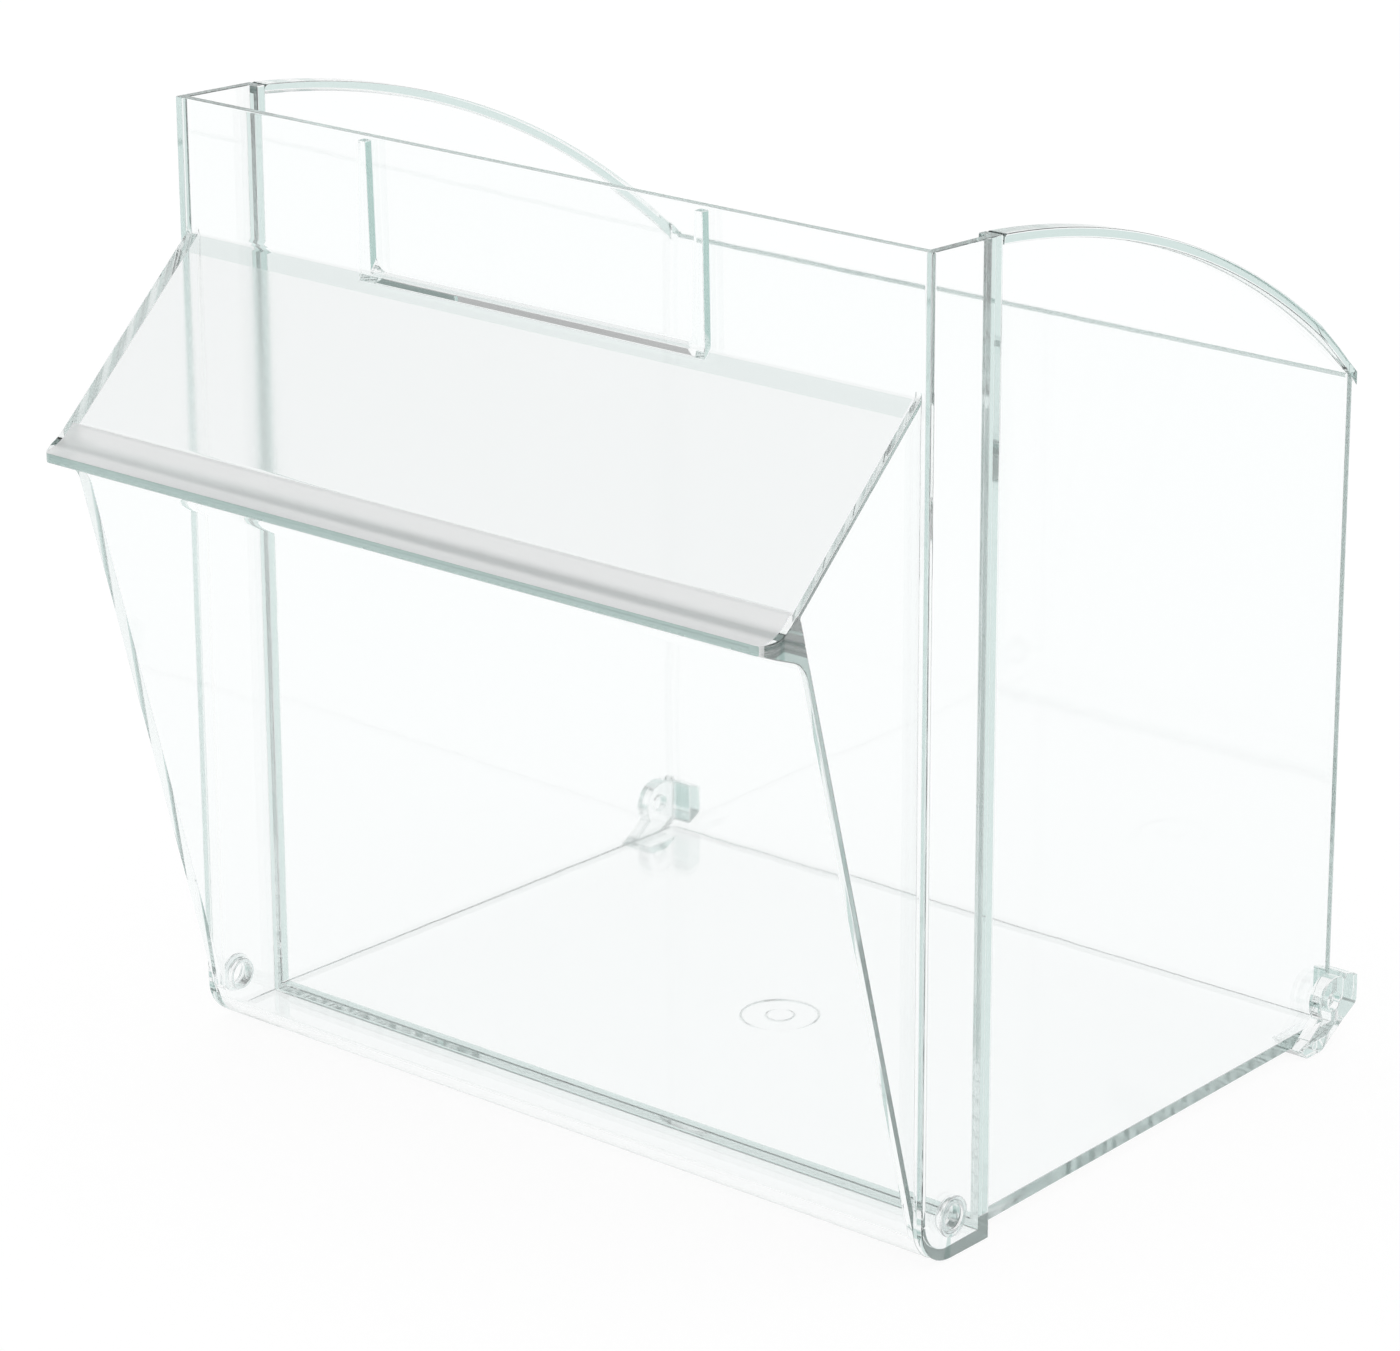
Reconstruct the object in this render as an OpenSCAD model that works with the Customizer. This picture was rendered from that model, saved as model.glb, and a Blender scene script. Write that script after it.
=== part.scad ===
// Clear tip-out bin: a deep moulded cup that tips forward on two low pivots.
// X runs across the bin, Y from its front to its back, Z up. Lengths are millimetres.

/* [Body] */
// Width across the frame band
body_w = 290; // [220:1:360]
// Height of the front wall and of the frame band
body_h = 302; // [270:1:360]
// Depth from the frame band's front face to the back wall's outer face
body_d = 220; // [170:1:280]
// Height of the back wall's top edge
back_h = 218.2; // [180:0.1:240]
// Thickness of every moulded wall
wall = 3.2; // [2:0.1:4]

/* [Frame band] */
// Depth of the frame band, front to back
band_d = 31.5; // [26:0.5:45]
// How far the side walls lie inboard of the frame band
side_step = 3.2; // [2.5:0.1:6]
// How far the tub's floor lies above the frame band's underside
floor_step = 3; // [2:0.1:5]
// Outer radius of the frame band's lower front corner
band_corner_r = 13.5; // [11:0.5:15]

/* [Tub] */
// How much narrower the tub is at the back, on each side
plan_taper = 4.4; // [0:0.2:8]
// Outer radius of the tub's upright rear corners
rear_corner_r = 4; // [3.6:0.1:10]
// Distance of the side walls' arc centre behind the frame band's front face
arc_centre_y = 3.2; // [0:0.1:20]
// How far the arc's rear end stands above the back wall's top edge
corner_step = 0.5; // [0.3:0.1:3]
// Height of the rim along the arc
rim_h = 3; // [2:0.1:5]
// Radius of the rim's rounded front end
rim_end_r = 2.4; // [0.5:0.1:3]
// Radius of the gate recess under the floor
gate_r = 12.5; // [8:0.5:20]
// Depth of the gate recess
gate_depth = 0.8; // [0.4:0.1:1.2]
// Width of the ridge round the gate recess's centre
gate_hub_r = 4.5; // [3:0.5:7]
// Distance of the gate recess from the frame band's front face
gate_y = 113; // [90:1:130]

/* [Hood] */
// Height of the crease between the upper front wall and the hood
crease_z = 261; // [252:1:266]
// Radius of the hollow between the upper front wall and the hood
crease_r = 3; // [1:0.5:6]
// Reach of the hood's nose in front of the frame band
nose_reach = 53.5; // [44:0.5:58]
// Height of the hood's nose
nose_z = 211.5; // [200:0.5:214]
// Radius inside the nose
nose_r = 5; // [4:0.5:8]
// Distance of the lower front wall's foot behind the frame band's front face
foot_y = 3; // [1:0.1:5]

/* [Lip] */
// Reach of the pull lip in front of the frame band
lip_reach = 66; // [62:0.5:74]
// Thickness of the pull lip at its edge
lip_t = 3.4; // [2.5:0.1:4.5]
// Height of the pull lip's edge, at its top
lip_z = 206; // [198:0.5:206]
// Fall of the lip's top from the hood to its edge
lip_fall = 1; // [0.5:0.1:3]
// Height of the lip's root on the lower front wall
lip_root_z = 197.5; // [188:0.5:197.5]
// Radius where the hood sweeps out into the lip
lip_sweep_r = 14; // [6:0.5:14]
// Radius under the lip's root
lip_root_r = 4; // [2:0.5:8]
// Radius along the lip's edge
lip_edge_r = 1.2; // [0.4:0.1:1.2]
// Radius of the lip's two ends, seen from above
lip_end_r = 4; // [1:0.5:8]

/* [Label frame] */
// Distance between the outer faces of the two ribs, at their foot
label_w = 134; // [90:1:180]
// Width of a rib at its foot
rib_foot_w = 4.9; // [4:0.1:7]
// Width of a rib at its top
rib_top_w = 3; // [2:0.1:4]
// How far a rib's outer face leans in at its top
rib_lean = 0.8; // [0:0.1:2]
// How far the ribs and the ledge stand out from the wall
rib_depth = 2.8; // [2:0.1:5]
// Height of the ledge's top above the crease
ledge_h = 0.5; // [0.2:0.1:6]
// Radius of the label window's lower corners
window_r = 3; // [1:0.5:5]
// Distance of the ribs' tops below the front wall's top
rib_top_gap = 1; // [0.5:0.1:4]

/* [Pivots] */
// Diameter of the bushes' bore, which takes the cabinet's pin
bore_d = 8; // [5:0.1:8.5]
// Outer diameter of the bushes' barrel
barrel_d = 10; // [9.5:0.1:11]
// Outer diameter of the bushes' flange
flange_d = 12.5; // [12:0.1:16]
// Thickness of the bushes' flange
flange_t = 1; // [0.6:0.1:2]
// Running clearance round the barrel, on the radius
pivot_clearance = 0.05; // [0.02:0.01:0.1]
// Gap between the flange and the frame band's side
flange_gap = 0.2; // [0.1:0.05:0.5]
// How far the barrel stands through inside the wall
barrel_stand = 0.8; // [0.4:0.1:3]

/* [Stop lugs] */
// How far the lugs stand out from the side walls
lug_side = 5; // [3:0.1:8]
// How far the lugs stand out behind the back wall
lug_back = 6; // [4:0.1:10]
// How far the lugs reach round the corner onto the back wall
lug_wrap = 9; // [6:0.1:20]
// Height of the lugs' top
lug_h = 22.5; // [18:0.5:30]
// Radius of the lugs' round knuckle
knuckle_r = 8; // [6:0.1:10]
// Height of the knuckle's centre
knuckle_z = 15; // [13:0.5:18]
// Distance of the knuckle's centre in front of the back wall's outer face
knuckle_in = 6.5; // [4:0.1:10]
// Radius of the lugs' outer corners
lug_edge_r = 1.3; // [0.4:0.1:1.6]
// Radius of the knuckle's blind eye
eye_r = 3; // [2:0.1:4]
// Depth of the knuckle's blind eye
eye_depth = 2.6; // [1:0.1:2.8]
// Distance of the lugs' foot in front of the back wall's outer face
foot_in = 21; // [19:0.5:30]
// Length of the lugs' foot on the ground
foot_len = 8; // [5:0.5:10]
// Height of the knee between the lugs' foot and their back
knee_z = 7; // [5:0.5:9]
// Distance of the knee in front of the back wall's outer face
knee_in = 1.6; // [0.5:0.1:4]
// Height of the lower end of the lugs' upright back
heel_z = 11; // [10:0.5:14]
// Fall of the lugs' top towards the back
lug_top_fall = 2; // [0:0.1:4]

/* [Hidden] */
$fn = 96;
arc_steps = 8;
past = 1;
half_w = body_w / 2;
floor_top = floor_step + wall;
top_z = body_h + past;
pivot_y = band_corner_r;
pivot_z = band_corner_r;
front_shift = (lip_reach - body_d - lug_back) / 2;
clear_plastic = [0.80, 0.89, 0.87, 0.5];
bush_plastic = [0.86, 0.92, 0.91, 0.7];

// The arc runs from the front wall's top to its end at the back, and the frame band's top follows it
arc_back = body_d - arc_centre_y;
arc_end_z = back_h + corner_step;
arc_centre_z = (arc_centre_y ^ 2 - arc_back ^ 2 + body_h ^ 2 - arc_end_z ^ 2) / (2 * (body_h - arc_end_z));
arc_r = norm([arc_centre_y, body_h - arc_centre_z]);
band_back_h = arc_centre_z + sqrt(arc_r ^ 2 - (band_d - arc_centre_y) ^ 2);

function unit(v) = v / norm(v);
function flat(corner) = [corner.x, corner.y];
function around(path, i) = path[(i + len(path)) % len(path)];
function turn(a, b) = cross(a, b) < 0 ? -1 : 1;

// Points that round corner b between a and c with radius r
function arc_at(a, b, c, r) =
    let (
        u = unit(a - b),
        v = unit(c - b),
        half = acos(u * v) / 2,
        centre = b + unit(u + v) * r / sin(half),
        start = b + u * r / tan(half) - centre,
        first = atan2(start.y, start.x),
        sweep = (180 - 2 * half) * -turn(u, v)
    )
    [for (i = [0:arc_steps]) let (w = first + sweep * i / arc_steps) centre + r * [cos(w), sin(w)]];

// A closed outline whose corners [x, y, radius] are rounded
function rounded(path) = [
    for (i = [0:len(path) - 1])
        let (b = path[i])
            each (b[2] > 0 ? arc_at(flat(around(path, i - 1)), flat(b), flat(around(path, i + 1)), b[2]) : [flat(b)])
];

// A counter-clockwise outline with every side moved inwards by t
function inset(path, t) = [
    for (i = [0:len(path) - 1])
        let (
            b = path[i],
            u = unit(flat(around(path, i - 1)) - flat(b)),
            v = unit(flat(around(path, i + 1)) - flat(b)),
            side = turn(v, u),
            moved = flat(b) + unit(u + v) * side * t / sin(acos(u * v) / 2)
        )
            [moved.x, moved.y, b[2] > 0 ? max(b[2] - side * t, 0) : 0]
];

// Half the tub's outer width at a distance behind the frame band's front face
function half_at(y) = half_w - side_step - plan_taper * (y - band_d) / (body_d - band_d);

// Side outline of the frame band, with its top and back moved out by grow
function band_path(grow = 0) = [
    [0, body_h + grow, 0],
    [0, 0, band_corner_r],
    [band_d, 0, 0],
    [band_d, band_back_h + grow, 0]
];

// Side outline of the front wall: upper wall, hood, nose and lower wall
function panel_path(grow = 0) = [
    [0, body_h + grow, 0],
    [0, crease_z, crease_r],
    [-nose_reach, nose_z, nose_r],
    [foot_y, 0, band_corner_r],
    [band_d, 0, 0],
    [band_d, band_back_h + grow, 0]
];

// Y of the hood's and of the lower front wall's outer face at a height
function hood_y(z) = -nose_reach + (z - nose_z) * nose_reach / (crease_z - nose_z);
function lower_wall_y(z) = foot_y - (foot_y + nose_reach) * z / nose_z;

// Side outline of the pull lip, closed inside the walls that meet at the nose
function lip_path() =
    let (
        sweep_z = lip_z + lip_fall,
        upper_z = nose_z + wall,
        lower_z = lip_root_z - 2 * wall
    )
    [
        [hood_y(upper_z), upper_z, 0],
        [hood_y(sweep_z), sweep_z, lip_sweep_r],
        [-lip_reach, lip_z, lip_edge_r],
        [-lip_reach, lip_z - lip_t, lip_edge_r],
        [lower_wall_y(lip_root_z), lip_root_z, lip_root_r],
        [lower_wall_y(lower_z), lower_z, 0]
    ];

// Plan outline of the tub, starting at a distance behind the frame band's front face
function tub_path(front) = [
    [half_at(front), front, 0],
    [half_at(body_d), body_d, rear_corner_r],
    [-half_at(body_d), body_d, rear_corner_r],
    [-half_at(front), front, 0]
];

// Moves a piece so that the whole bin stands centred on the origin
module on_base() {
    translate([0, front_shift, 0]) children();
}

// Extrudes a side outline, given as [Y, Z] points, across X
module across(path, width) {
    rotate([90, 0, 90]) linear_extrude(width, center = true) polygon(path);
}

// A cylinder along X, centred on a point of the side view
module rod_across(y, z, r, width) {
    translate([0, y, z]) rotate([0, 90, 0]) cylinder(r = r, h = width, center = true);
}

// Repeats what it is given on both sides
module both_sides() {
    for (side = [0, 1]) mirror([side, 0, 0]) children();
}

module tub_block(z) {
    translate([0, 0, z]) linear_extrude(top_z - z) polygon(rounded(tub_path(band_d)));
}

module under_arc(less = 0) {
    rod_across(arc_centre_y, arc_centre_z, arc_r - less, 2 * body_w);
}

// The rim that stands out along the arc of one side wall
module rim() {
    front_end = [
        [band_d, 0, 0],
        [body_d, 0, 0],
        [body_d, top_z, 0],
        [band_d, band_back_h, rim_end_r]
    ];
    intersection() {
        difference() {
            under_arc();
            under_arc(rim_h);
        }
        linear_extrude(top_z) polygon([
            [half_at(band_d) - wall / 2, band_d],
            [half_at(band_d) + side_step, band_d],
            [half_at(body_d) + side_step, body_d],
            [half_at(body_d) - wall / 2, body_d - wall / 2]
        ]);
        across(rounded(front_end), body_w);
    }
}

module gate_recess() {
    translate([0, gate_y, floor_step - past]) difference() {
        cylinder(r = gate_r, h = gate_depth + past);
        cylinder(r = gate_hub_r, h = gate_depth + past);
    }
}

module tub() {
    back_flat = half_at(body_d) - rear_corner_r;
    color(clear_plastic) on_base() difference() {
        union() {
            intersection() {
                tub_block(floor_step);
                under_arc();
            }
            both_sides() rim();
        }
        translate([0, 0, floor_top]) linear_extrude(top_z)
            polygon(rounded(inset(tub_path(band_d - 2 * wall), wall)));
        translate([-back_flat, body_d - wall - past, back_h]) cube([2 * back_flat, 2 * wall + past, top_z]);
        gate_recess();
    }
}

module pull_lip() {
    width = body_w - 2 * side_step;
    plan = [
        [-width / 2, -lip_reach, lip_end_r],
        [width / 2, -lip_reach, lip_end_r],
        [width / 2, 0, 0],
        [-width / 2, 0, 0]
    ];
    intersection() {
        across(rounded(lip_path()), width);
        linear_extrude(body_h) polygon(rounded(plan));
    }
}

module front_panel() {
    inner_w = body_w - 2 * side_step - 2 * wall;
    color(clear_plastic) on_base() difference() {
        union() {
            across(rounded(band_path()), body_w);
            across(rounded(panel_path()), body_w - 2 * side_step);
            pull_lip();
        }
        across(rounded(inset(band_path(2 * wall), wall)), body_w - 2 * wall);
        across(rounded(inset(panel_path(2 * wall), wall)), inner_w);
        translate([-inner_w / 2, band_d - wall - past, floor_top])
            cube([inner_w, wall + 2 * past, top_z]);
        rod_across(pivot_y, pivot_z, barrel_d / 2 + pivot_clearance, body_w + past);
    }
}

// The panel's own outline is taken out, so the frame lies on the wall and on the hood
module label_frame() {
    foot = label_w / 2;
    top = label_w / 2 - rib_lean;
    foot_z = crease_z - 2 * rib_depth;
    rib_top_z = body_h - rib_top_gap;
    ledge_top = crease_z + ledge_h;
    front = [
        [-foot, foot_z, 0],
        [foot, foot_z, 0],
        [top, rib_top_z, 0],
        [top - rib_top_w, rib_top_z, 0],
        [foot - rib_foot_w, ledge_top, window_r],
        [rib_foot_w - foot, ledge_top, window_r],
        [rib_top_w - top, rib_top_z, 0],
        [-top, rib_top_z, 0]
    ];
    color(clear_plastic) on_base() difference() {
        translate([0, wall / 2, 0]) rotate([90, 0, 0])
            linear_extrude(rib_depth + wall / 2) polygon(rounded(front));
        across(rounded(panel_path()), body_w - 2 * side_step);
    }
}

// One flanged bush; side is 1 on the right and -1 on the left
module pivot_bush(side) {
    inner = half_w - wall - barrel_stand;
    seat = half_w + flange_gap;
    outer = seat + flange_t;
    color(bush_plastic) on_base() translate([0, pivot_y, pivot_z]) rotate([0, 90 * side, 0]) difference() {
        union() {
            translate([0, 0, inner]) cylinder(d = barrel_d, h = outer - inner);
            translate([0, 0, seat]) cylinder(d = flange_d, h = flange_t);
        }
        translate([0, 0, inner - past]) cylinder(d = bore_d, h = outer - inner + 2 * past);
    }
}

module pivot_bush_left() { pivot_bush(-1); }

module pivot_bush_right() { pivot_bush(1); }

// Side outline of a stop lug's foot, knee and upright back
function lug_path() = [
    [body_d - foot_in - floor_step, floor_step, 0],
    [body_d - foot_in, 0, lug_edge_r],
    [body_d - foot_in + foot_len, 0, 2 * lug_edge_r],
    [body_d - knee_in, knee_z, lug_edge_r],
    [body_d + lug_back, heel_z, 2 * lug_edge_r],
    [body_d + lug_back, lug_h - lug_top_fall, lug_edge_r],
    [body_d, lug_h, 0],
    [body_d - knuckle_in, knuckle_z, 0]
];

// One stop lug round a lower rear corner; side is 1 on the right and -1 on the left
module stop_lug(side) {
    outer = half_at(body_d) + lug_side;
    inner = half_at(body_d) - lug_wrap;
    color(clear_plastic) on_base() mirror([side < 0 ? 1 : 0, 0, 0]) difference() {
        translate([(outer + inner) / 2, 0, 0]) union() {
            across(rounded(lug_path()), outer - inner);
            rod_across(body_d - knuckle_in, knuckle_z, knuckle_r, outer - inner);
        }
        tub_block(floor_step);
        translate([outer - eye_depth, body_d - knuckle_in, knuckle_z]) rotate([0, 90, 0])
            cylinder(r = eye_r, h = eye_depth + past);
    }
}

module stop_lug_left() { stop_lug(-1); }

module stop_lug_right() { stop_lug(1); }

tub();
front_panel();
label_frame();
pivot_bush_left();
pivot_bush_right();
stop_lug_left();
stop_lug_right();
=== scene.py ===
import logging
import math
from dataclasses import dataclass
from enum import Enum
from typing import Any, Sequence

import bmesh
import bpy
from mathutils import Matrix, Vector
from mathutils.bvhtree import BVHTree


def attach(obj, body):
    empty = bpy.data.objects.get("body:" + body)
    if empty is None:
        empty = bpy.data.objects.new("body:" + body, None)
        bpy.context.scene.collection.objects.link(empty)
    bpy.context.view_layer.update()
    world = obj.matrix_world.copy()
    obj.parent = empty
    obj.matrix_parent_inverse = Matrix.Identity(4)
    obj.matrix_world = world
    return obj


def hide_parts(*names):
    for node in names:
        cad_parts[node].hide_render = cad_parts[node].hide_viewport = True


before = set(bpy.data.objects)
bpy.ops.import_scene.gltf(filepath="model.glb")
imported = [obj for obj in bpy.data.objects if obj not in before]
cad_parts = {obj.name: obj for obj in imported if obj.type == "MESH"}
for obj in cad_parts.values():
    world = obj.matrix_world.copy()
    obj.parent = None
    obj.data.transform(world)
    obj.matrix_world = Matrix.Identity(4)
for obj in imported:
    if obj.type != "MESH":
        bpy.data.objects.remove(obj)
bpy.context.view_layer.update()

MM = 0.001  # metres in a millimetre
FAR = 400.0  # mm, past every piece
PAST = 1.0  # mm, how far a cut runs past a face
DEGREES_PER_STEP = 7.0  # on a rounded corner
FEWEST_STEPS = 4  # on a rounded corner
LOG = logging.getLogger("tip_out_bin")

Point = tuple[float, float]
Corner = tuple[float, float, float]  # a corner of an outline with its radius, or a point in space
Zone = tuple[Corner, Corner]  # a box's lowest and highest corners
Tree = bpy.types.NodeTree
Socket = bpy.types.NodeSocket
Node = bpy.types.Node
Material = bpy.types.Material
Object = bpy.types.Object
Mesh = bpy.types.Mesh
BMesh = bmesh.types.BMesh

MATH = "ShaderNodeMath"
ADD, SUBTRACT, MULTIPLY, MULTIPLY_ADD, SQRT, COMPARE, MAXIMUM, GREATER_THAN = (
    {"operation": name}
    for name in ("ADD", "SUBTRACT", "MULTIPLY", "MULTIPLY_ADD", "SQRT", "COMPARE", "MAXIMUM", "GREATER_THAN")
)


def unit(v: Vector) -> Vector:
    """Returns the vector at length one."""
    return v / v.length


def half_angle(u: Vector, v: Vector) -> float:
    """Returns half the angle between two directions of length one."""
    return math.acos(max(-1.0, min(1.0, u.dot(v)))) / 2


def circle(centre: Point, radius: float, steps: int = 64) -> list[Point]:
    """Returns the points of a circle."""
    turns = [2 * math.pi * k / steps for k in range(steps)]
    return [(centre[0] + radius * math.cos(w), centre[1] + radius * math.sin(w)) for w in turns]


def arc_at(a: Point, b: Point, c: Point, radius: float) -> list[Point]:
    """Rounds corner b between a and c.

    Args:
        a: The point before the corner.
        b: The corner.
        c: The point after the corner.
        radius: The rounding's radius.

    Returns:
        The points of the rounding, a few degrees apart.
    """
    before, corner, after = Vector(a), Vector(b), Vector(c)
    u, v = unit(before - corner), unit(after - corner)
    half = half_angle(u, v)
    centre = corner + unit(u + v) * radius / math.sin(half)
    start = corner + u * radius / math.tan(half) - centre
    first = math.atan2(start.y, start.x)
    sweep = (math.pi - 2 * half) * (1 if u.cross(v) < 0 else -1)
    steps = max(FEWEST_STEPS, round(abs(math.degrees(sweep)) / DEGREES_PER_STEP))
    turns = [first + sweep * i / steps for i in range(steps + 1)]
    return [(centre.x + radius * math.cos(w), centre.y + radius * math.sin(w)) for w in turns]


def rounded(path: Sequence[Corner]) -> list[Point]:
    """Rounds the corners of a closed outline.

    Args:
        path: The corners, each with its radius.

    Returns:
        The outline's points.
    """
    made: list[Point] = []
    for i, (x, y, radius) in enumerate(path):
        before, after = path[i - 1], path[(i + 1) % len(path)]
        made += arc_at(before[:2], (x, y), after[:2], radius) if radius > 0 else [(x, y)]
    return made


def inset(path: Sequence[Corner], t: float) -> list[Corner]:
    """Moves every side of a counter-clockwise outline inwards.

    Args:
        path: The corners, each with its radius.
        t: How far.

    Returns:
        The smaller outline.
    """
    made: list[Corner] = []
    for i, (x, y, radius) in enumerate(path):
        corner = Vector((x, y))
        u = unit(Vector(path[i - 1][:2]) - corner)
        v = unit(Vector(path[(i + 1) % len(path)][:2]) - corner)
        side = -1 if v.cross(u) < 0 else 1
        moved = corner + unit(u + v) * side * t / math.sin(half_angle(u, v))
        made.append((moved.x, moved.y, max(radius - side * t, 0.0) if radius > 0 else 0.0))
    return made


def mirrored(low: Corner, high: Corner) -> list[Zone]:
    """Returns a box and its mirror image on the other side of x = 0."""
    (x0, y0, z0), (x1, y1, z1) = low, high
    return [(low, high), ((-x1, y0, z0), (-x0, y1, z1))]


def within(point: Vector, zone: Zone) -> bool:
    """Tells whether a point lies in a box."""
    return all(a <= c <= b for a, c, b in zip(zone[0], point, zone[1]))


def rectangle(x0: float, x1: float, y0: float, y1: float) -> list[Point]:
    """Returns a rectangle's outline."""
    return [(x0, y0), (x1, y0), (x1, y1), (x0, y1)]


def node(tree: Tree, kind: str, settings: dict[str, Any] | None = None, **links: Any) -> Node:
    """Adds a node, sets its properties and fills its inputs.

    Args:
        tree: The node tree.
        kind: The node's type name.
        settings: Properties of the node itself.
        links: Inputs by name with spaces as underscores, or i0, i1 and so on by number. Each
            is a value, an output socket, or a node, which gives its first output.

    Returns:
        The new node.
    """
    made = tree.nodes.new(kind)
    for key, value in (settings or {}).items():
        setattr(made, key, value)
    for key, value in links.items():
        by_number = key[0] == "i" and key[1:].isdigit()
        socket = made.inputs[int(key[1:])] if by_number else made.inputs[key.replace("_", " ")]
        if isinstance(value, Node):
            value = value.outputs[0]
        if isinstance(value, Socket):
            tree.links.new(value, socket)
        else:
            socket.default_value = value
    return made


def opened(mesh: Mesh) -> BMesh:
    """Opens a mesh for editing."""
    bm = bmesh.new()
    bm.from_mesh(mesh)
    return bm


class Recipe:
    """A Geometry Nodes tree with named inputs, run once into a plain mesh."""

    KINDS = {float: "NodeSocketFloat", int: "NodeSocketInt", Material: "NodeSocketMaterial"}

    def __init__(self, name: str, **sizes: float | int | Material) -> None:
        """Starts the tree.

        Args:
            name: The tree's name.
            sizes: The tree's inputs, by name with spaces as underscores.
        """
        self.sizes = {key.replace("_", " "): value for key, value in sizes.items()}
        self.tree = bpy.data.node_groups.new(name, "GeometryNodeTree")
        self.tree.interface.new_socket("Geometry", in_out="INPUT", socket_type="NodeSocketGeometry")
        for key, value in self.sizes.items():
            self.tree.interface.new_socket(key, in_out="INPUT", socket_type=self.KINDS[type(value)])
        self.tree.interface.new_socket("Geometry", in_out="OUTPUT", socket_type="NodeSocketGeometry")
        self.inputs = node(self.tree, "NodeGroupInput").outputs

    def end(self, geometry: Node) -> None:
        """Makes the geometry real, gives it its material and closes the tree.

        Args:
            geometry: What the tree has made.
        """
        real = node(self.tree, "GeometryNodeRealizeInstances", Geometry=geometry)
        dressed = node(
            self.tree, "GeometryNodeSetMaterial", Geometry=real, Material=self.inputs["Material"]
        )
        node(self.tree, "NodeGroupOutput", Geometry=dressed)

    def run(self, host: Mesh) -> Mesh:
        """Runs the tree.

        Args:
            host: The mesh that the tree starts from.

        Returns:
            The plain mesh that it makes.
        """
        obj = bpy.data.objects.new(self.tree.name, host)
        bpy.context.scene.collection.objects.link(obj)
        mod = obj.modifiers.new(self.tree.name, "NODES")
        mod.node_group = self.tree
        for item in self.tree.interface.items_tree:
            if item.in_out == "INPUT" and item.name in self.sizes:
                mod[item.identifier] = self.sizes[item.name]
        graph = bpy.context.evaluated_depsgraph_get()
        mesh = bpy.data.meshes.new_from_object(obj.evaluated_get(graph))
        obj.modifiers.clear()
        bpy.data.objects.remove(obj)
        return mesh


class Blend(Enum):
    """How one solid is combined with another."""

    JOIN = "UNION"
    CUT = "DIFFERENCE"
    MEET = "INTERSECT"


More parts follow.
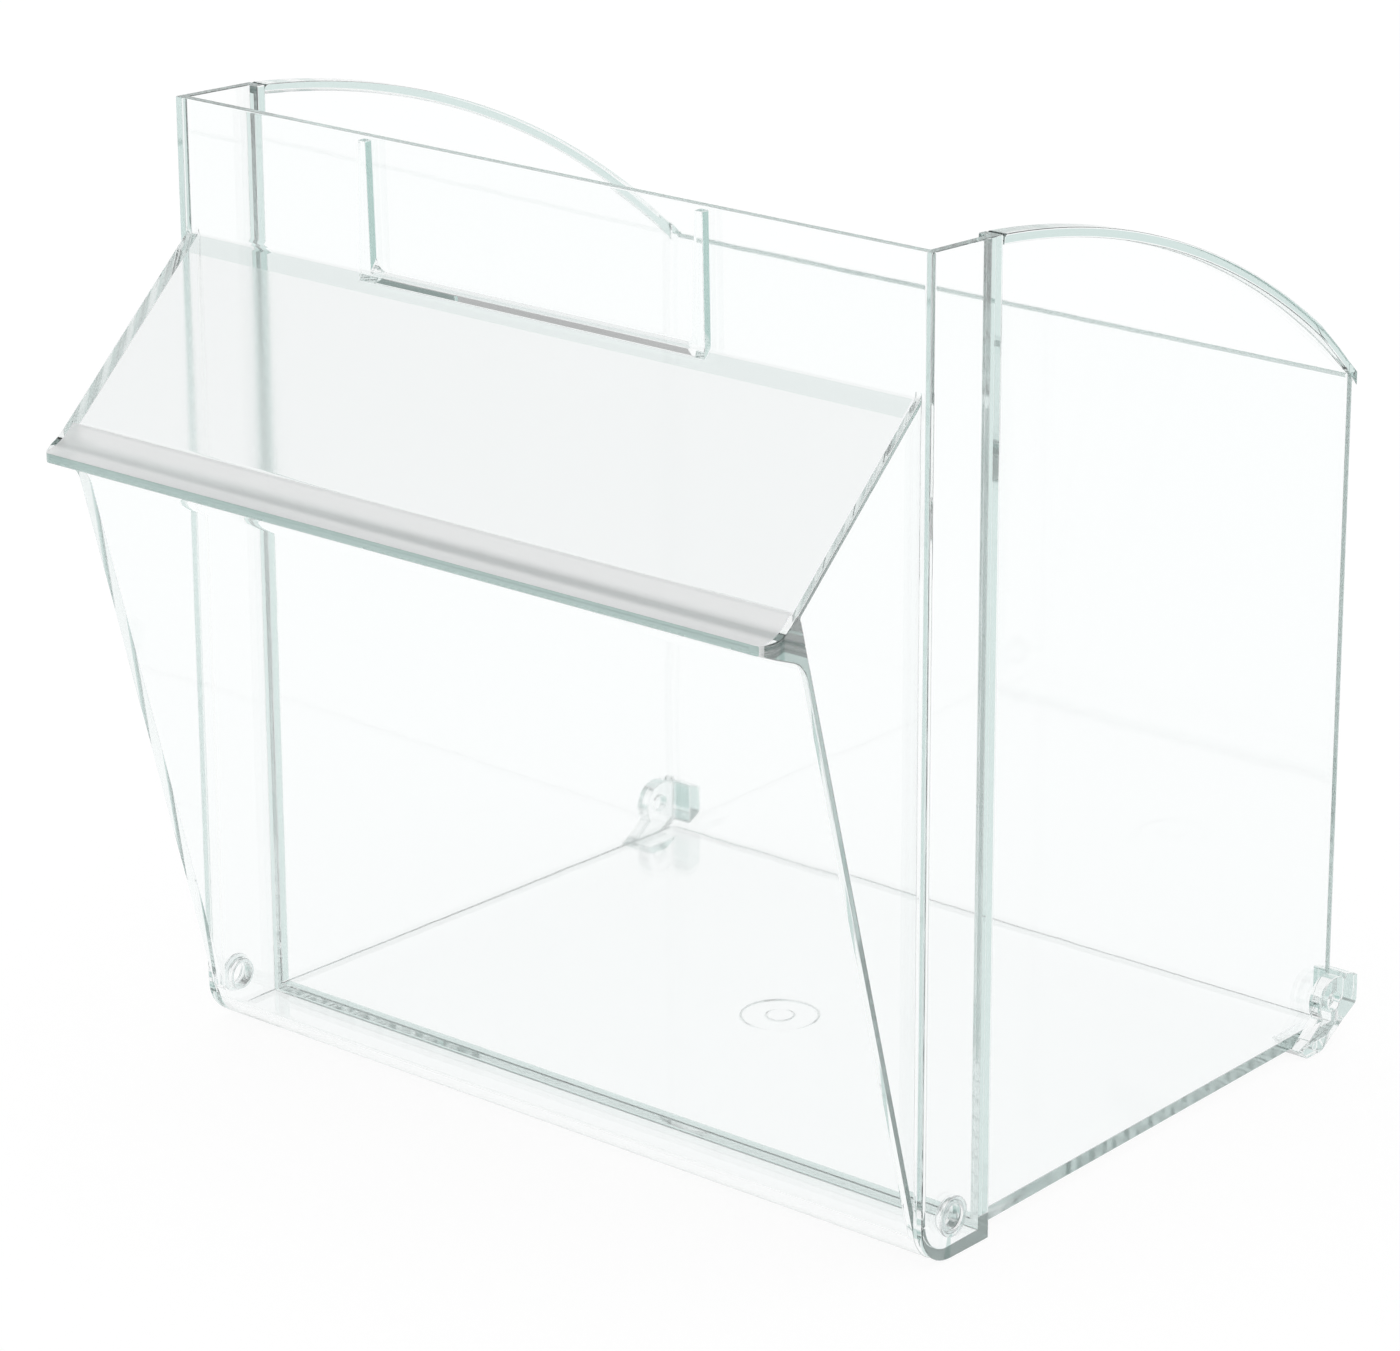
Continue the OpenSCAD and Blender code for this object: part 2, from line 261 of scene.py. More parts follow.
class Solid:
    """A closed mesh in millimetres, combined with others before it is finished in metres."""

    BLUNTEST = 30.0  # degrees: a blunter edge isn't rounded
    SHARPEST = 150.0  # degrees: nor is a sharper fold
    CREASE = 40.0  # degrees: the shading breaks at a sharper edge
    # the marked faces get the material's painted edge shade
    DEEP = "deep"  # the face attribute that marks a wall's edge
    SQUARE = 0.98  # how straight along an axis such a face points
    MERGE = 0.004  # mm: closer points become one
    FLAT = 0.3  # degrees: flatter neighbours become one face
    STRAY = 0.45  # of the rounding's width: how far a point may leave the surface
    SKIN = 0.02  # mm under a face, where its depth is measured from

    def __init__(self, bm: BMesh) -> None:
        """Keeps the mesh as an object of its own.

        Args:
            bm: The closed mesh, freed here.
        """
        bmesh.ops.recalc_face_normals(bm, faces=bm.faces)
        mesh = bpy.data.meshes.new("solid")
        bm.to_mesh(mesh)
        bm.free()
        self.obj = bpy.data.objects.new("solid", mesh)
        bpy.context.scene.collection.objects.link(self.obj)

    @classmethod
    def loft(cls, rings: Sequence[Sequence[Sequence[float]]]) -> "Solid":
        """Closes the space between rings with equally many points each.

        Args:
            rings: The rings in order, each a list of (x, y, z) points.

        Returns:
            The solid, closed by its first and its last ring.
        """
        bm = bmesh.new()
        made = [[bm.verts.new(p) for p in ring] for ring in rings]
        count = len(made[0])
        for a, b in zip(made, made[1:]):
            for i in range(count):
                j = (i + 1) % count
                bm.faces.new((a[i], a[j], b[j], b[i]))
        bm.faces.new(made[0])
        bm.faces.new(made[-1])
        return cls(bm)

    @classmethod
    def across(cls, outline: Sequence[Point], low: float = -FAR, high: float = FAR) -> "Solid":
        """Extrudes a side outline of (y, z) points along x."""
        return cls.loft([[(x, p[0], p[1]) for p in outline] for x in (low, high)])

    @classmethod
    def upright(cls, outline: Sequence[Point], low: float, high: float = FAR) -> "Solid":
        """Extrudes a plan outline of (x, y) points along z."""
        return cls.loft([[(p[0], p[1], z) for p in outline] for z in (low, high)])

    @classmethod
    def of_mesh(cls, mesh: Mesh) -> "Solid":
        """Takes over a plain closed mesh."""
        return cls(opened(mesh))

    def combine(self, other: "Solid", how: Blend) -> "Solid":
        """Combines this solid with another, which is used up.

        Args:
            other: The other solid.
            how: Join, cut or meet.

        Returns:
            This solid.
        """
        mod = self.obj.modifiers.new("combine", "BOOLEAN")
        mod.object, mod.operation, mod.solver = other.obj, how.value, "EXACT"
        self._apply()
        bpy.data.objects.remove(other.obj)
        return self

    def join(self, other: "Solid") -> "Solid":
        """Adds the other solid."""
        return self.combine(other, Blend.JOIN)

    def cut(self, other: "Solid") -> "Solid":
        """Takes the other solid away."""
        return self.combine(other, Blend.CUT)

    def meet(self, other: "Solid") -> "Solid":
        """Keeps what both solids share."""
        return self.combine(other, Blend.MEET)

    def paired(self, name: str, material: Material) -> "Solid":
        """Repeats the solid on the other side of the plane x = 0.

        Args:
            name: The pair's name.
            material: The pair's finish.

        Returns:
            The pair as one solid.
        """
        recipe = Recipe(name, Material=material)
        whole = recipe.inputs["Geometry"]
        other = node(recipe.tree, "GeometryNodeTransform", Geometry=whole, Scale=(-1.0, 1.0, 1.0))
        other = node(recipe.tree, "GeometryNodeFlipFaces", Mesh=other)
        both = node(recipe.tree, "GeometryNodeJoinGeometry", Geometry=whole)
        recipe.tree.links.new(other.outputs[0], both.inputs[0])
        recipe.end(both)
        mesh = recipe.run(self.obj.data)
        bpy.data.objects.remove(self.obj)
        return Solid.of_mesh(mesh)

    def _apply(self) -> None:
        """Replaces the mesh with what its modifiers make of it."""
        graph = bpy.context.evaluated_depsgraph_get()
        mesh = bpy.data.meshes.new_from_object(self.obj.evaluated_get(graph))
        self.obj.modifiers.clear()
        self.obj.data = mesh

    def _clean(self) -> BMesh:
        """Merges what the combining left double.

        Returns:
            The mesh to work on.
        """
        bm = opened(self.obj.data)
        bmesh.ops.remove_doubles(bm, verts=bm.verts, dist=self.MERGE)
        bmesh.ops.dissolve_degenerate(bm, edges=bm.edges, dist=self.MERGE)
        bmesh.ops.dissolve_limit(bm, angle_limit=math.radians(self.FLAT), verts=bm.verts, edges=bm.edges)
        return bm

    def _round_edges(self, edge: float, steps: int, crisp: Sequence[Zone]) -> None:
        """Rounds the sharp edges and puts back what the rounding threw off the surface.

        Args:
            edge: The width of the rounding.
            steps: How many strips go round an edge.
            crisp: Boxes in which the edges stay sharp.
        """
        bm = self._clean()
        surface = BVHTree.FromBMesh(bm)
        weight = bm.edges.layers.float.new("bevel_weight_edge")
        for e in bm.edges:
            angle = math.degrees(e.calc_face_angle(0.0))
            middle = (e.verts[0].co + e.verts[1].co) / 2
            kept = any(within(middle, zone) for zone in crisp)
            e[weight] = 1.0 if self.SHARPEST > angle > self.BLUNTEST and not kept else 0.0
        bm.to_mesh(self.obj.data)
        bm.free()
        bevel = self.obj.modifiers.new("edge", "BEVEL")
        bevel.width, bevel.segments, bevel.limit_method = edge, steps, "WEIGHT"
        bevel.use_clamp_overlap = False
        self._apply()
        for v in self.obj.data.vertices:
            near, _, _, gap = surface.find_nearest(v.co)
            if gap > edge * self.STRAY:
                v.co = near

    def _mark_deep_faces(self, deep: float, also: Sequence[Zone]) -> None:
        """Marks the upright and level faces that have more plastic behind them than a wall is thick, for the
        painted edge shade.

        Args:
            deep: The depth from which a face is marked.
            also: Boxes in which every face is marked.
        """
        bm = opened(self.obj.data)
        bm.normal_update()
        surface = BVHTree.FromBMesh(bm)
        layer = bm.faces.layers.float.new(self.DEEP)
        widest: dict[bmesh.types.BMFace, tuple[float, Vector]] = {}
        for corners in bm.calc_loop_triangles():
            a, b, c = (corner.vert.co for corner in corners)
            area, face = (b - a).cross(c - a).length, corners[0].face
            if area > widest.get(face, (0.0, a))[0]:
                widest[face] = (area, (a + b + c) / 3)
        for face, (_, middle) in widest.items():
            hit = surface.ray_cast(middle - face.normal * self.SKIN, -face.normal)
            square = max(abs(n) for n in face.normal) > self.SQUARE
            boxed = any(within(middle, zone) for zone in also)
            face[layer] = 1.0 if boxed or (square and hit[3] is not None and hit[3] > deep) else 0.0
        bm.to_mesh(self.obj.data)
        bm.free()

    def piece(
        self, name: str, edge: float, shift_y: float, material: Material, steps: int = 3,
        crisp: Sequence[Zone] = (), deep: float = 5.0, also_deep: Sequence[Zone] = (),
    ) -> Object:
        """Rounds the edges and makes the finished piece, in metres.

        Args:
            name: The piece's name.
            edge: The width of the rounding along every edge.
            shift_y: How far the piece moves along y into the frame's place.
            material: The piece's finish.
            steps: How many strips go round an edge.
            crisp: Boxes in which the edges stay sharp.
            deep: The depth of plastic from which a face counts as a wall's edge and gets the painted edge
                shade.
            also_deep: Boxes in which every face counts as an edge and gets the painted edge shade.

        Returns:
            The piece's object.
        """
        self._round_edges(edge, steps, crisp)
        self._mark_deep_faces(deep, also_deep)
        self.obj.data.shade_smooth()
        self.obj.data.set_sharp_from_angle(angle=math.radians(self.CREASE))
        normal = self.obj.modifiers.new("normal", "WEIGHTED_NORMAL")
        normal.weight, normal.keep_sharp = 100, True
        self._apply()
        mesh = self.obj.data
        mesh.transform(Matrix.Translation((0, shift_y * MM, 0)) @ Matrix.Scale(MM, 4))
        mesh.name = name
        mesh.materials.clear()
        mesh.materials.append(material)
        self.obj.name = name
        return self.obj


def linear(code: str) -> tuple[float, float, float, float]:
    """Turns an sRGB colour into a linear one.

    Args:
        code: Six hexadecimal digits.

    Returns:
        Linear red, green and blue, with full alpha.
    """
    made = []
    for i in (0, 2, 4):
        c = int(code[i : i + 2], 16) / 255
        made.append(c / 12.92 if c <= 0.04045 else ((c + 0.055) / 1.055) ** 2.4)
    return (*made, 1.0)


@dataclass(frozen=True)
class ClearMoulding:
    """A clear moulded plastic: glossy, bending what is behind it, tinted where light runs far in it, and
    given a painted shade on its deep edges.

    Lengths and places are in metres, places in the frame's own coordinates.
    """

    name: str
    ior: float
    tint: str
    density: float
    # painted shade: the deeper base colour given to faces with deep plastic behind them
    painted_edge_shade: str
    face_tint: str = "FEFFFF"
    roughness: float = 0.012
    uneven: float = 0.02
    flow_length: float = 0.05
    wave_length: float = 0.024
    wave_height: float = 0.00003
    joint_y: float = -0.04847
    joint_reach: float = 0.00006
    joint_half_w: float = 0.1418
    joint_low: float = 0.003
    joint_high: float = 0.2985

    def _in_box(self, tree: Tree, place: Socket, **spans: tuple[float, float]) -> Node:
        """Tells what lies in a box.

        Args:
            tree: The material's nodes.
            place: The Object coordinates.
            spans: The lowest and the highest X, Y or Z that count, in metres.

        Returns:
            1 in the box and 0 elsewhere.
        """
        at = node(tree, "ShaderNodeSeparateXYZ", Vector=place).outputs
        share = 1.0
        for axis, (low, high) in spans.items():
            middle, half = (low + high) / 2, (high - low) / 2
            near = node(tree, MATH, COMPARE, i0=at[axis], i1=middle, i2=half)
            share = node(tree, MATH, MULTIPLY, i0=near, i1=share)
        return share

    def _looks(self, tree: Tree, place: Socket) -> dict[str, Any]:
        """Works out what varies over the surface.

        Args:
            tree: The material's nodes.
            place: The Object coordinates.

        Returns:
            The shader's inputs by name, and under one more key how much of the painted edge shade shows.
        """
        # Faces with deep plastic behind them are marked for the painted edge shade
        marked = node(tree, "ShaderNodeAttribute", {"attribute_name": Solid.DEEP}).outputs["Fac"]
        # Light goes on where the tub is bonded to the front panel, so those edges get no painted edge shade
        bonded = self._in_box(
            tree, place,
            X=(-self.joint_half_w, self.joint_half_w),
            Y=(self.joint_y - self.joint_reach, self.joint_y + self.joint_reach),
            Z=(self.joint_low, self.joint_high),
        )
        free = node(tree, MATH, SUBTRACT, i0=1.0, i1=bonded)
        # The polish is a little uneven where the melt flowed and where goods rub, and long
        # shrinkage waves bend what shows through the walls
        flow = node(tree, "ShaderNodeTexNoise", Vector=place, Scale=1 / self.flow_length, Detail=2.0)
        waves = node(tree, "ShaderNodeTexNoise", Vector=place, Scale=1 / self.wave_length, Detail=1.0)
        return {
            # how much painted edge shade shows: on the marked faces, but not at the bond
            "Tint": node(tree, MATH, MULTIPLY, i0=marked, i1=free),
            "Transmission_Weight": 1.0,
            "Roughness": node(tree, MATH, MULTIPLY_ADD, i0=flow, i1=self.uneven, i2=self.roughness),
            "Normal": node(tree, "ShaderNodeBump", Strength=1.0, Distance=self.wave_height, Height=waves),
        }

    def build(self) -> Material:
        """Makes the material.

        Returns:
            The material.
        """
        made = bpy.data.materials.new(self.name)
        made.use_nodes = True
        tree = made.node_tree
        tree.nodes.clear()
        looks = self._looks(tree, node(tree, "ShaderNodeTexCoord").outputs["Object"])
        # Painted shade: an edge gets a deeper base colour, standing in for the light that has run far inside
        # a wall and leaves at its edge
        colour = node(
            tree, "ShaderNodeMix", {"data_type": "RGBA"}, Factor=looks.pop("Tint"),
            i6=linear(self.face_tint), i7=linear(self.painted_edge_shade),
        )
        shader = node(tree, "ShaderNodeBsdfPrincipled", Base_Color=colour.outputs[2], IOR=self.ior, **looks)
        inside = node(tree, "ShaderNodeVolumeAbsorption", Color=linear(self.tint), Density=self.density)
        node(tree, "ShaderNodeOutputMaterial", Surface=shader, Volume=inside)
        return made


@dataclass(frozen=True)
class Styrene(ClearMoulding):
    """General-purpose polystyrene from a polished tool: glass clear, with a faint green edge that the volume
    tint gives and a painted shade deepens.
    """

    name: str = "clear_polystyrene_polished"
    ior: float = 1.59
    tint: str = "96B8B2"
    density: float = 3.0
    # painted shade colour on the deep faces
    painted_edge_shade: str = "B0CAC5"


@dataclass(frozen=True)
class EtchedStyrene(Styrene):
    """The same polystyrene where the tool's hood face is finely spark-eroded, so it is misty."""

    name: str = "clear_polystyrene_eroded_hood"
    etch_roughness: float = 0.1
    grain: float = 0.0012
    grain_height: float = 0.000006
    half_width: float = 0.1394
    low: float = 0.2042
    high: float = 0.2560
    crease: float = 0.2603
    # share of the painted edge shade on the clear strip along the crease
    crease_painted_shade: float = 0.4
    lip_low: float = 0.2020
    lip_high: float = 0.2125
    lip_roughness: float = 0.25
    lip_haze: float = 0.55
    nose_y: float = -0.1335
    nose_z: float = 0.2115
    slope: float = 1.0808
    reach: float = 0.0015

    def _on_hood(self, tree: Tree, place: Socket, low: float, high: float) -> Node:
        """Tells which of the hood's outer faces lie between two heights.

        Args:
            tree: The material's nodes.
            place: The Object coordinates.
            low: The lower height.
            high: The upper height.

        Returns:
            1 on those faces and 0 elsewhere.
        """
        belt = self._in_box(tree, place, X=(-self.half_width, self.half_width), Z=(low, high))
        at = node(tree, "ShaderNodeSeparateXYZ", Vector=place).outputs
        # The hood's face runs through the nose, at a slope of y against z, and its inside lies behind
        lift = self.nose_y - self.slope * self.nose_z
        plane = node(tree, MATH, MULTIPLY_ADD, i0=at["Z"], i1=self.slope, i2=lift)
        ahead = node(tree, MATH, SUBTRACT, i0=plane, i1=at["Y"])
        outer = node(tree, MATH, GREATER_THAN, i0=ahead, i1=-self.reach)
        return node(tree, MATH, MULTIPLY, i0=belt, i1=outer)

    def _looks(self, tree: Tree, place: Socket) -> dict[str, Any]:
        """Adds the misty hood, the painted shade on the strip along its crease, and the lip.

        Args:
            tree: The material's nodes.
            place: The Object coordinates.

        Returns:
            The shader's inputs by name, and under one more key how much of the painted edge shade shows.
        """
        looks = super()._looks(tree, place)
        face, strip, lip = (
            self._on_hood(tree, place, low, high)
            for low, high in ((self.low, self.high), (self.high, self.crease), (self.lip_low, self.lip_high))
        )
        # The mist leaves a clear strip along the crease, which gets a little of the painted edge shade
        faint = node(tree, MATH, MULTIPLY, i0=strip, i1=self.crease_painted_shade)
        looks["Tint"] = node(tree, MATH, MAXIMUM, i0=looks["Tint"], i1=faint)
        # The lip's thick root scatters light back
        looks["Transmission_Weight"] = node(tree, MATH, MULTIPLY_ADD, i0=lip, i1=-self.lip_haze, i2=1.0)
        for where, more in ((face, self.etch_roughness), (lip, self.lip_roughness)):
            looks["Roughness"] = node(tree, MATH, MULTIPLY_ADD, i0=where, i1=more, i2=looks["Roughness"])
        # The real grain is taken as about 0.1 mm, too fine to show, so it is drawn coarser
        grain = node(tree, "ShaderNodeTexNoise", Vector=place, Scale=1 / self.grain, Detail=2.0)
        looks["Normal"] = node(
            tree, "ShaderNodeBump", Strength=face, Distance=self.grain_height, Height=grain,
            Normal=looks["Normal"],
        )
        return looks


@dataclass(frozen=True)
class Polycarbonate(ClearMoulding):
    """Clear polycarbonate, turned bright from rod: a touch denser and bluer than the bin."""

    name: str = "clear_polycarbonate_turned"
    ior: float = 1.585
    tint: str = "A4BCC0"
    density: float = 5.0
    # painted shade colour on the bushes' deep faces
    painted_edge_shade: str = "DDE8E7"
    roughness: float = 0.1
    uneven: float = 0.04
    wave_length: float = 0.0015
    wave_height: float = 0.000004


@dataclass(frozen=True)
class StudioSweep:
    """Matt white sweep paper: it fades into the white background and keeps a faint shadow."""

    name: str = "studio_sweep_paper"
    glow: float = 0.92
    paper: float = 0.12
    plain: float = 0.85

    def build(self) -> Material:
        """Makes the material, which glows where it is seen and is plain paper where it lights the bin.

        Returns:
            The material.
        """
        made = bpy.data.materials.new(self.name)
        made.use_nodes = True
        tree = made.node_tree
        tree.nodes.clear()
        path = node(tree, "ShaderNodeLightPath").outputs
        seen = path["Is Camera Ray"]
        for other in ("Is Glossy Ray", "Is Transmission Ray"):
            seen = node(tree, MATH, MAXIMUM, i0=seen, i1=path[other])
        paper, plain = (
            node(tree, "ShaderNodeBsdfDiffuse", Color=(grey, grey, grey, 1.0))
            for grey in (self.paper, self.plain)
        )
        glow = node(tree, "ShaderNodeEmission", Color=(1.0, 1.0, 1.0, 1.0), Strength=self.glow)
        both = node(tree, "ShaderNodeAddShader", i0=paper, i1=glow)
        mix = node(tree, "ShaderNodeMixShader", i0=seen, i1=plain, i2=both)
        node(tree, "ShaderNodeOutputMaterial", Surface=mix)
        return made


@dataclass
class BinSizes:
    """Sizes in millimetres that the mouldings share."""

    body_w: float = 290.0
    body_h: float = 302.0
    body_d: float = 220.0
    back_h: float = 218.2
    wall: float = 3.2
    band_d: float = 31.5
    side_step: float = 3.2
    floor_step: float = 3.0
    band_corner_r: float = 13.5
    plan_taper: float = 4.4
    rear_corner_r: float = 4.0
    arc_centre_y: float = 3.2
    corner_step: float = 0.5
    rim_h: float = 3.0
    shift_y: float = -80.0
    seam: float = 0.06
    joint_margin: float = 0.4
    joint_depth: float = 0.5

    @property
    def half_w(self) -> float:
        """Half the width across the frame band."""
        return self.body_w / 2

    @property
    def floor_top(self) -> float:
        """Height of the floor's inner face."""
        return self.floor_step + self.wall

    @property
    def arc_centre_z(self) -> float:
        """Height of the side walls' arc centre."""
        back, end = self.body_d - self.arc_centre_y, self.back_h + self.corner_step
        return (self.arc_centre_y**2 - back**2 + self.body_h**2 - end**2) / (2 * (self.body_h - end))

    @property
    def arc_r(self) -> float:
        """Radius of the side walls' arc."""
        return math.hypot(self.arc_centre_y, self.body_h - self.arc_centre_z)

    @property
    def taper(self) -> float:
        """How much half the tub's width shrinks for each millimetre towards the back."""
        return self.plan_taper / (self.body_d - self.band_d)

    def arc_z(self, y: float, less: float = 0.0) -> float:
        """Height of the arc at a distance behind the front face."""
        return self.arc_centre_z + math.sqrt((self.arc_r - less) ** 2 - (y - self.arc_centre_y) ** 2)

    def half_at(self, y: float) -> float:
        """Half the tub's outer width at a distance behind the front face."""
        return self.half_w - self.side_step - self.taper * (y - self.band_d)

    def joint_zones(self, top: float) -> list[Zone]:
        """Boxes the joint between the tub and the front panel, where no edge is rounded.

        Args:
            top: How high the box goes.

        Returns:
            The one box, in a list.
        """
        reach = self.half_w - self.side_step + self.joint_margin
        low = (-reach, self.band_d - self.joint_depth, self.floor_step - self.joint_margin)
        return [(low, (reach, self.band_d + self.joint_depth, top))]

    def tub_path(self, front: float) -> list[Corner]:
        """Draws the tub's plan outline.

        Args:
            front: Where it starts, as a distance behind the front face.

        Returns:
            The corners, open at the front.
        """
        back = self.half_at(self.body_d)
        return [
            (self.half_at(front), front, 0),
            (back, self.body_d, self.rear_corner_r),
            (-back, self.body_d, self.rear_corner_r),
            (-self.half_at(front), front, 0),
        ]

    def band_path(self, grow: float = 0.0) -> list[Corner]:
        """Draws the frame band's side outline, counter-clockwise seen from +x.

        Args:
            grow: How far its top is raised.

        Returns:
            The corners.
        """
        return [
            (0, self.body_h + grow, 0),
            (0, 0, self.band_corner_r),
            (self.band_d, 0, 0),
            (self.band_d, self.arc_z(self.band_d) + grow, 0),
        ]


@dataclass
class Tub:
    """Floor, back wall and the two side walls with their arc-shaped rims."""

    sizes: BinSizes
    edge: float = 0.45
    rim_end_r: float = 1.6
    gate_r: float = 12.5
    gate_depth: float = 0.8
    gate_hub_r: float = 4.5
    gate_y: float = 113.0
    chord: float = 6.0
    lap: float = 2.0
    rim_fade: float = 26.0
    rim_run: float = 10.0
    tail_reach: float = 5.0
    back_drop: float = 6.0
    crisp_in: float = 8.0
    crisp_out: float = 6.0
    crisp_rise: float = 12.0

    def _under_arc(self, less: float) -> Solid:
        """Makes all that lies under the arc.

        Args:
            less: How far the arc is lowered.

        Returns:
            The solid, wider than the tub.
        """
        s = self.sizes
        first = s.band_d - self.chord
        stations = [first + self.chord * i for i in range(int((s.body_d - first) / self.chord) + 3)]
        top = [(y, s.arc_z(y, less)) for y in reversed(stations)]
        return Solid.across([(stations[0], -FAR), (stations[-1], -FAR)] + top)

    def _rims(self, material: Material) -> Solid:
        """Sweeps the rim along the arc on both sides.

        Args:
            material: The moulding's finish.

        Returns:
            Both rims, longer than the walls at both ends.
        """
        s = self.sizes
        front, rear = s.band_d - self.chord, s.body_d + self.chord
        recipe = Recipe(
            "arc_rims", Arc_radius=s.arc_r, Arc_centre_y=s.arc_centre_y, Arc_centre_z=s.arc_centre_z,
            Front=front, Rear=rear, Half_width=s.half_at(front), Taper=s.taper, Height=s.rim_h,
            Reach_in=s.wall + self.lap, Reach_out=s.side_step, Steps=int((rear - front) / self.chord) + 1,
            Material=material,
        )
        tree, given = recipe.tree, recipe.inputs
        start = node(tree, "ShaderNodeCombineXYZ", Y=given["Front"])
        end = node(tree, "ShaderNodeCombineXYZ", Y=given["Rear"])
        line = node(tree, "GeometryNodeCurvePrimitiveLine", Start=start, End=end)
        line = node(tree, "GeometryNodeResampleCurve", Curve=line, Count=given["Steps"])
        y = node(tree, "ShaderNodeSeparateXYZ", Vector=node(tree, "GeometryNodeInputPosition")).outputs["Y"]
        back = node(tree, MATH, SUBTRACT, i0=y, i1=given["Front"])
        x = node(tree, MATH, MULTIPLY, i0=back, i1=given["Taper"])
        x = node(tree, MATH, SUBTRACT, i0=given["Half width"], i1=x)
        run = node(tree, MATH, SUBTRACT, i0=y, i1=given["Arc centre y"])
        run = node(tree, MATH, MULTIPLY, i0=run, i1=run)
        rise = node(tree, MATH, MULTIPLY, i0=given["Arc radius"], i1=given["Arc radius"])
        rise = node(tree, MATH, SUBTRACT, i0=rise, i1=run)
        rise = node(tree, MATH, SQRT, i0=rise)
        z = node(tree, MATH, ADD, i0=given["Arc centre z"], i1=rise)
        place = node(tree, "ShaderNodeCombineXYZ", X=x, Y=y, Z=z)
        path = node(tree, "GeometryNodeSetPosition", Geometry=line, Position=place)
        path = node(tree, "GeometryNodeSetCurveNormal", {"mode": "Z_UP"}, Curve=path)
        inner = node(tree, MATH, MULTIPLY, i0=given["Reach in"], i1=-1.0)
        outer, height = given["Reach out"], given["Height"]
        corners = {
            f"Point_{i}": node(tree, "ShaderNodeCombineXYZ", X=a, Y=b)
            for i, (a, b) in enumerate(((inner, 0.0), (outer, 0.0), (outer, height), (inner, height)), 1)
        }
        profile = node(tree, "GeometryNodeCurvePrimitiveQuadrilateral", {"mode": "POINTS"}, **corners)
        right = node(tree, "GeometryNodeCurveToMesh", Curve=path, Profile_Curve=profile, Fill_Caps=True)
        recipe.end(right)
        return Solid.of_mesh(recipe.run(bpy.data.meshes.new("path"))).paired("rim_pair", material)

    def _rim_corner(self, front: float) -> Solid:
        """Makes what the rounding at the rims' front ends takes away.

        Args:
            front: Where the tub starts.

        Returns:
            The waste on both sides.
        """
        s = self.sizes
        top, along = s.arc_z(front), front + self.rim_run
        bend = arc_at((front, 0), (front, top), (along, s.arc_z(along)), self.rim_end_r)
        waste = [(front - PAST, bend[0][1])] + bend + [(bend[-1][0], top + PAST), (front - PAST, top + PAST)]
        return Solid.across(waste)

    def _rim_tails(self, material: Material) -> Solid:
        """Makes what is cut off so that both rims fade out at the back.

        Args:
            material: The moulding's finish.

        Returns:
            The waste on both sides.
        """
        s = self.sizes
        start, end, back = s.body_d - self.rim_fade, s.body_d + 2 * PAST, s.half_at(s.body_d)
        edge = s.half_at(start) + s.side_step
        clear = edge + self.tail_reach
        waste = [(edge, start), (clear, start), (clear, end), (back, end), (back, s.body_d)]
        return Solid.upright(waste, s.back_h - self.back_drop).paired("rim_tails", material)

    def build(self, material: Material) -> Object:
        """Builds the tub.

        Args:
            material: The moulding's finish.

        Returns:
            The finished piece.
        """
        s = self.sizes
        front = s.band_d + s.seam
        rims = self._rims(material)
        rims.meet(Solid.upright(rectangle(-FAR, FAR, 0, s.body_d), 0))
        tub = Solid.upright(rounded(s.tub_path(s.band_d - self.chord)), s.floor_step)
        tub.meet(self._under_arc(s.rim_h / 2))
        tub.join(rims)
        tub.cut(Solid.upright(rounded(inset(s.tub_path(s.band_d - 4 * s.wall), s.wall)), s.floor_top))
        tub.meet(Solid.upright(rectangle(-FAR, FAR, front, FAR), -PAST))
        tub.cut(self._rim_corner(front))
        tub.cut(self._rim_tails(material))
        flat = s.half_at(s.body_d) - s.rear_corner_r
        tub.cut(Solid.upright(rectangle(-flat, flat, s.body_d - 2 * s.wall, FAR), s.back_h))
        gate = Solid.upright(circle((0, self.gate_y), self.gate_r), 0, s.floor_step + self.gate_depth)
        gate.cut(Solid.upright(circle((0, self.gate_y), self.gate_hub_r), -PAST))
        tub.cut(gate)
        back = s.half_at(s.body_d)
        rear = mirrored(
            (back - self.crisp_in, s.body_d - self.crisp_in, s.back_h - self.back_drop),
            (back + self.crisp_out, s.body_d + PAST, s.back_h + self.crisp_rise),
        )
        return tub.piece("tub_moulding", self.edge, s.shift_y, material, crisp=rear + s.joint_zones(FAR))


